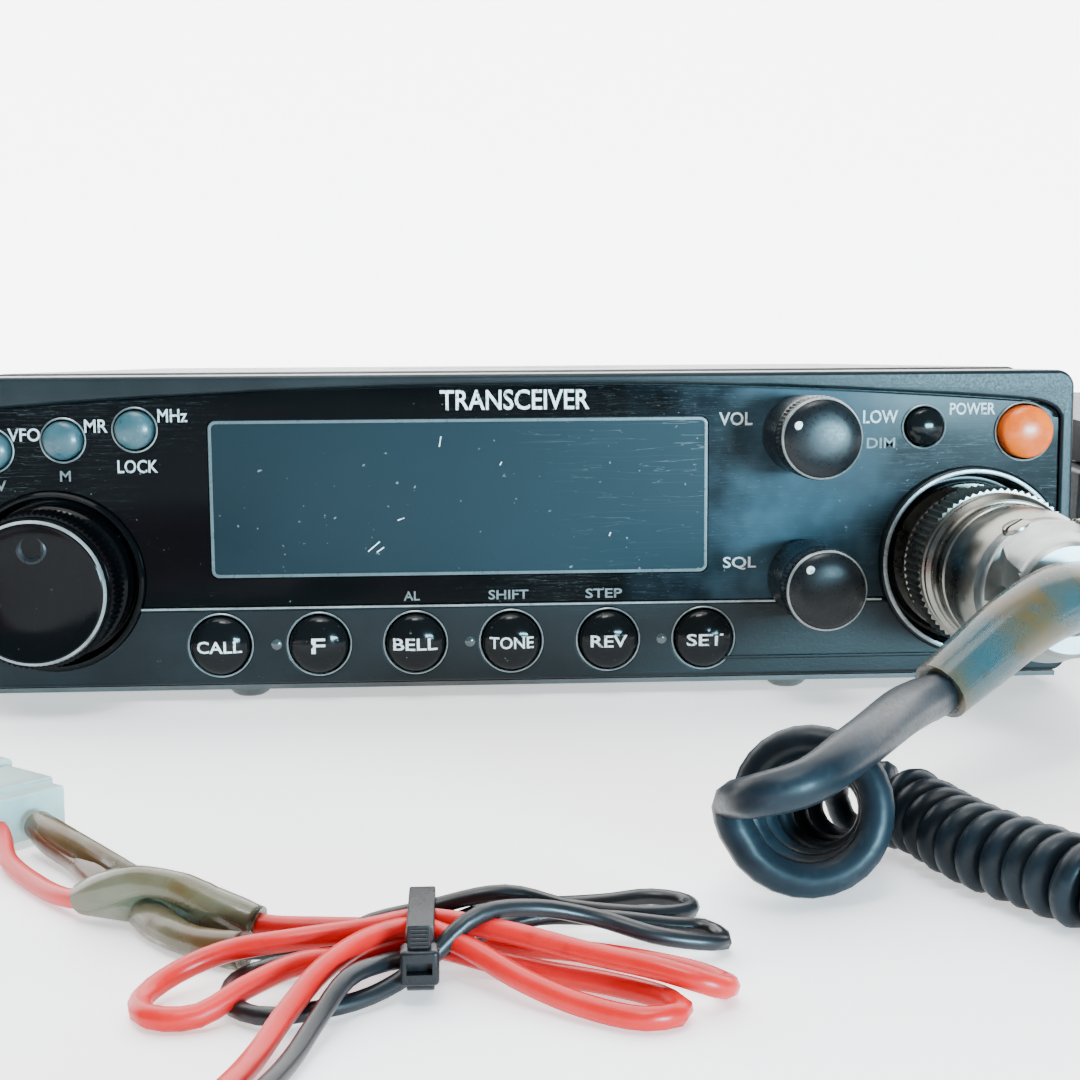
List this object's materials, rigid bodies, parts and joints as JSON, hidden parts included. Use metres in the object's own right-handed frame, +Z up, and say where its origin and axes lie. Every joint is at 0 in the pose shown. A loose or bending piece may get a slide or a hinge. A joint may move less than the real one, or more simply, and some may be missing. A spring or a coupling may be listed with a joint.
{
  "type": "mobile transceiver",
  "caption": "Car-mounting radio transceiver with display, knobs and keys, a plugged-in hand microphone on a curly cord and a tied two-wire power lead.",
  "frame": {"origin": "centre of the bottom cover's flat underside", "axes": "+X to the operator's right, +Y from the face back to the heat sink, +Z up"},
  "size_m": [0.231, 0.3159, 0.0408],
  "materials": {
    "bezel_plastic": "satin moulded plastic with a fine blue-green metallic speckle",
    "gloss_black": "glossy black with light scratches",
    "window_tint": "smoked glossy window",
    "lcd_body": "pale moulded frame",
    "board_green": "green solder mask",
    "painted_steel": "fine textured black paint",
    "cast_alloy": "black painted casting",
    "control_metal": "plain sheet metal cans",
    "screw_black": "black plated screw",
    "key_black": "glossy black dome",
    "key_teal": "pale translucent teal dome",
    "key_orange": "satin orange dome",
    "knob_black": "satin black",
    "nickel": "bright nickel plating",
    "brushed_alloy": "light brushed metal",
    "socket_black": "black moulding",
    "rubber_black": "dark navy-black satin rubber",
    "aged_sleeve": "aged clear sleeve, yellow-brown",
    "handset_plastic": "fine grained black plastic",
    "wire_red": "coral-red wire jacket",
    "wire_black": "black wire jacket",
    "nylon_white": "milky nylon",
    "speaker_cone": "dark paper cone in a pressed frame"
  },
  "bodies": {
    "transceiver": {"front_bezel": "bezel_plastic", "fascia_panel": "gloss_black", "display_window": "window_tint", "lcd_module": "lcd_body", "tuning_collar": "gloss_black", "front_circuit_board": "board_green", "main_circuit_board": "board_green", "rf_power_module": "control_metal", "speaker": "speaker_cone", "top_cover": "painted_steel", "bottom_cover": "painted_steel", "cast_chassis": "cast_alloy", "tuning_encoder": "control_metal", "volume_control": "control_metal", "squelch_control": "control_metal", "antenna_socket": "nickel", "speaker_jack": "socket_black", "lead_grommet": "rubber_black", "mic_socket": "nickel", "mic_plug_shell": "nickel", "mic_plug_clamp": "brushed_alloy", "mic_cord_sleeve": "aged_sleeve", "mic_cord_lead": "rubber_black", "mic_cord_curl": "rubber_black", "hand_mic_front_shell": "handset_plastic", "hand_mic_back_shell": "handset_plastic", "hand_mic_capsule": "control_metal", "hand_mic_hanger_stud": "nickel", "hand_mic_boot": "rubber_black", "dc_pigtail": "wire_red", "dc_socket_housing": "nylon_white", "dc_plug_housing": "nylon_white", "dc_lead_red": "wire_red", "dc_lead_black": "aged_sleeve", "dc_hank": "wire_red", "cable_tie": "socket_black", "dc_tail": "wire_black", "dc_coil": "wire_black", "cover_screw_1": "screw_black", "cover_screw_2": "screw_black", "cover_screw_3": "screw_black", "cover_screw_4": "screw_black"},
    "tuning_knob": {"tuning_knob": "knob_black"},
    "volume_knob": {"volume_knob": "knob_black"},
    "squelch_knob": {"squelch_knob": "knob_black"},
    "call_key": {"call_key": "key_black"},
    "function_key": {"function_key": "key_black"},
    "bell_key": {"bell_key": "key_black"},
    "tone_key": {"tone_key": "key_black"},
    "reverse_key": {"reverse_key": "key_black"},
    "shift_key": {"shift_key": "key_black"},
    "vfo_key": {"vfo_key": "key_teal"},
    "memory_key": {"memory_key": "key_teal"},
    "band_key": {"band_key": "key_teal"},
    "low_power_key": {"low_power_key": "key_black"},
    "power_button": {"power_button": "key_orange"},
    "mic_plug_ring": {"mic_plug_ring": "nickel"},
    "ptt_lever": {"ptt_lever": "handset_plastic"},
    "hand_mic_up_key": {"hand_mic_up_key": "rubber_black"},
    "hand_mic_down_key": {"hand_mic_down_key": "rubber_black"}
  },
  "joints": [
    {"name": "tuning_turn", "type": "hinge", "parent": "transceiver", "child": "tuning_knob", "pos_m": [-0.0577, -0.085, 0.0142], "axis": [0, 1, 0], "continuous": true},
    {"name": "volume_turn", "type": "hinge", "parent": "transceiver", "child": "volume_knob", "pos_m": [0.0349, -0.088, 0.0316], "axis": [0, 1, 0], "range_deg": [-88, 212]},
    {"name": "squelch_turn", "type": "hinge", "parent": "transceiver", "child": "squelch_knob", "pos_m": [0.0357, -0.088, 0.0136], "axis": [0, 1, 0], "range_deg": [-110, 190]},
    {"name": "call_press", "type": "slide", "parent": "transceiver", "child": "call_key", "axis": [0, 1, 0], "range_m": [0, 0.001], "stiffness_N_per_m": 600, "springref_m": -0.0005},
    {"name": "function_press", "type": "slide", "parent": "transceiver", "child": "function_key", "axis": [0, 1, 0], "range_m": [0, 0.001], "stiffness_N_per_m": 600, "springref_m": -0.0005},
    {"name": "bell_press", "type": "slide", "parent": "transceiver", "child": "bell_key", "axis": [0, 1, 0], "range_m": [0, 0.001], "stiffness_N_per_m": 600, "springref_m": -0.0005},
    {"name": "tone_press", "type": "slide", "parent": "transceiver", "child": "tone_key", "axis": [0, 1, 0], "range_m": [0, 0.001], "stiffness_N_per_m": 600, "springref_m": -0.0005},
    {"name": "reverse_press", "type": "slide", "parent": "transceiver", "child": "reverse_key", "axis": [0, 1, 0], "range_m": [0, 0.001], "stiffness_N_per_m": 600, "springref_m": -0.0005},
    {"name": "shift_press", "type": "slide", "parent": "transceiver", "child": "shift_key", "axis": [0, 1, 0], "range_m": [0, 0.001], "stiffness_N_per_m": 600, "springref_m": -0.0005},
    {"name": "vfo_press", "type": "slide", "parent": "transceiver", "child": "vfo_key", "axis": [0, 1, 0], "range_m": [0, 0.001], "stiffness_N_per_m": 600, "springref_m": -0.0005},
    {"name": "memory_press", "type": "slide", "parent": "transceiver", "child": "memory_key", "axis": [0, 1, 0], "range_m": [0, 0.001], "stiffness_N_per_m": 600, "springref_m": -0.0005},
    {"name": "band_press", "type": "slide", "parent": "transceiver", "child": "band_key", "axis": [0, 1, 0], "range_m": [0, 0.001], "stiffness_N_per_m": 600, "springref_m": -0.0005},
    {"name": "low_power_press", "type": "slide", "parent": "transceiver", "child": "low_power_key", "axis": [0, 1, 0], "range_m": [0, 0.001], "stiffness_N_per_m": 600, "springref_m": -0.0005},
    {"name": "power_press", "type": "slide", "parent": "transceiver", "child": "power_button", "axis": [0, 1, 0], "range_m": [0, 0.002], "stiffness_N_per_m": 500, "springref_m": -0.0005},
    {"name": "plug_ring_unscrew", "type": "hinge", "parent": "transceiver", "child": "mic_plug_ring", "pos_m": [0.0573, -0.088, 0.0153], "axis": [0, -1, 0], "range_deg": [0, 720]},
    {"name": "ptt_press", "type": "slide", "parent": "transceiver", "child": "ptt_lever", "axis": [1, 0, 0], "range_m": [0, 0.0015], "stiffness_N_per_m": 800, "springref_m": -0.0005},
    {"name": "hand_mic_up_press", "type": "slide", "parent": "transceiver", "child": "hand_mic_up_key", "axis": [0, -0.9968, -0.0804], "range_m": [0, 0.0008], "stiffness_N_per_m": 500, "springref_m": -0.0005},
    {"name": "hand_mic_down_press", "type": "slide", "parent": "transceiver", "child": "hand_mic_down_key", "axis": [0, -0.9968, -0.0804], "range_m": [0, 0.0008], "stiffness_N_per_m": 500, "springref_m": -0.0005}
  ]
}
